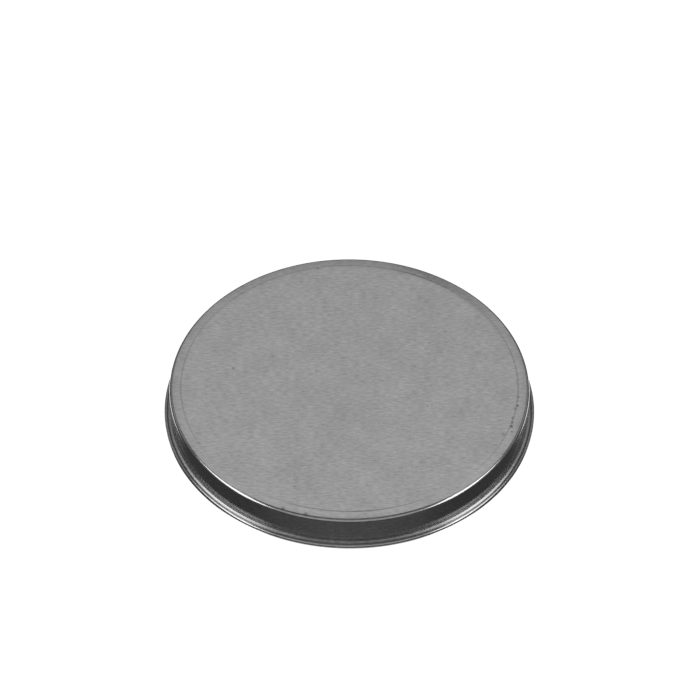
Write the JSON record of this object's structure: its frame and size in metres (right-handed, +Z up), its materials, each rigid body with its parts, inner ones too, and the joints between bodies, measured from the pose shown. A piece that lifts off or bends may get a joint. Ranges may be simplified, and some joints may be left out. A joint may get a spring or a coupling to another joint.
{
  "type": "candle tin",
  "caption": "Shallow round candle tin: plain metal slip lid with a rolled edge over a drawn base, filled with wax and short wicks.",
  "frame": {"origin": "on the tin's axis, at the plane that the base stands on", "axes": "+Z up along the tin's axis, from the base to the lid; +X from the axis towards wick 1"},
  "size_m": [0.1038, 0.1038, 0.0102],
  "materials": {
    "tinplate": "satin rolled tinplate",
    "wax": "smooth, waxy",
    "cotton": "braided, waxed",
    "tab_steel": "bright tinned",
    "foam_pad": "matt foam"
  },
  "bodies": {
    "tin": {"tin_base": "tinplate", "wax_fill": "wax", "wick_1": "cotton", "wick_tab_1": "tab_steel", "wick_sticker_1": "foam_pad", "wick_2": "cotton", "wick_tab_2": "tab_steel", "wick_sticker_2": "foam_pad", "wick_3": "cotton", "wick_tab_3": "tab_steel", "wick_sticker_3": "foam_pad"},
    "lid": {"tin_lid": "tinplate"}
  },
  "joints": [
    {"name": "lid_lift", "type": "slide", "parent": "tin", "child": "lid", "axis": [0, 0, 1], "range_m": [0, 0.03]}
  ]
}
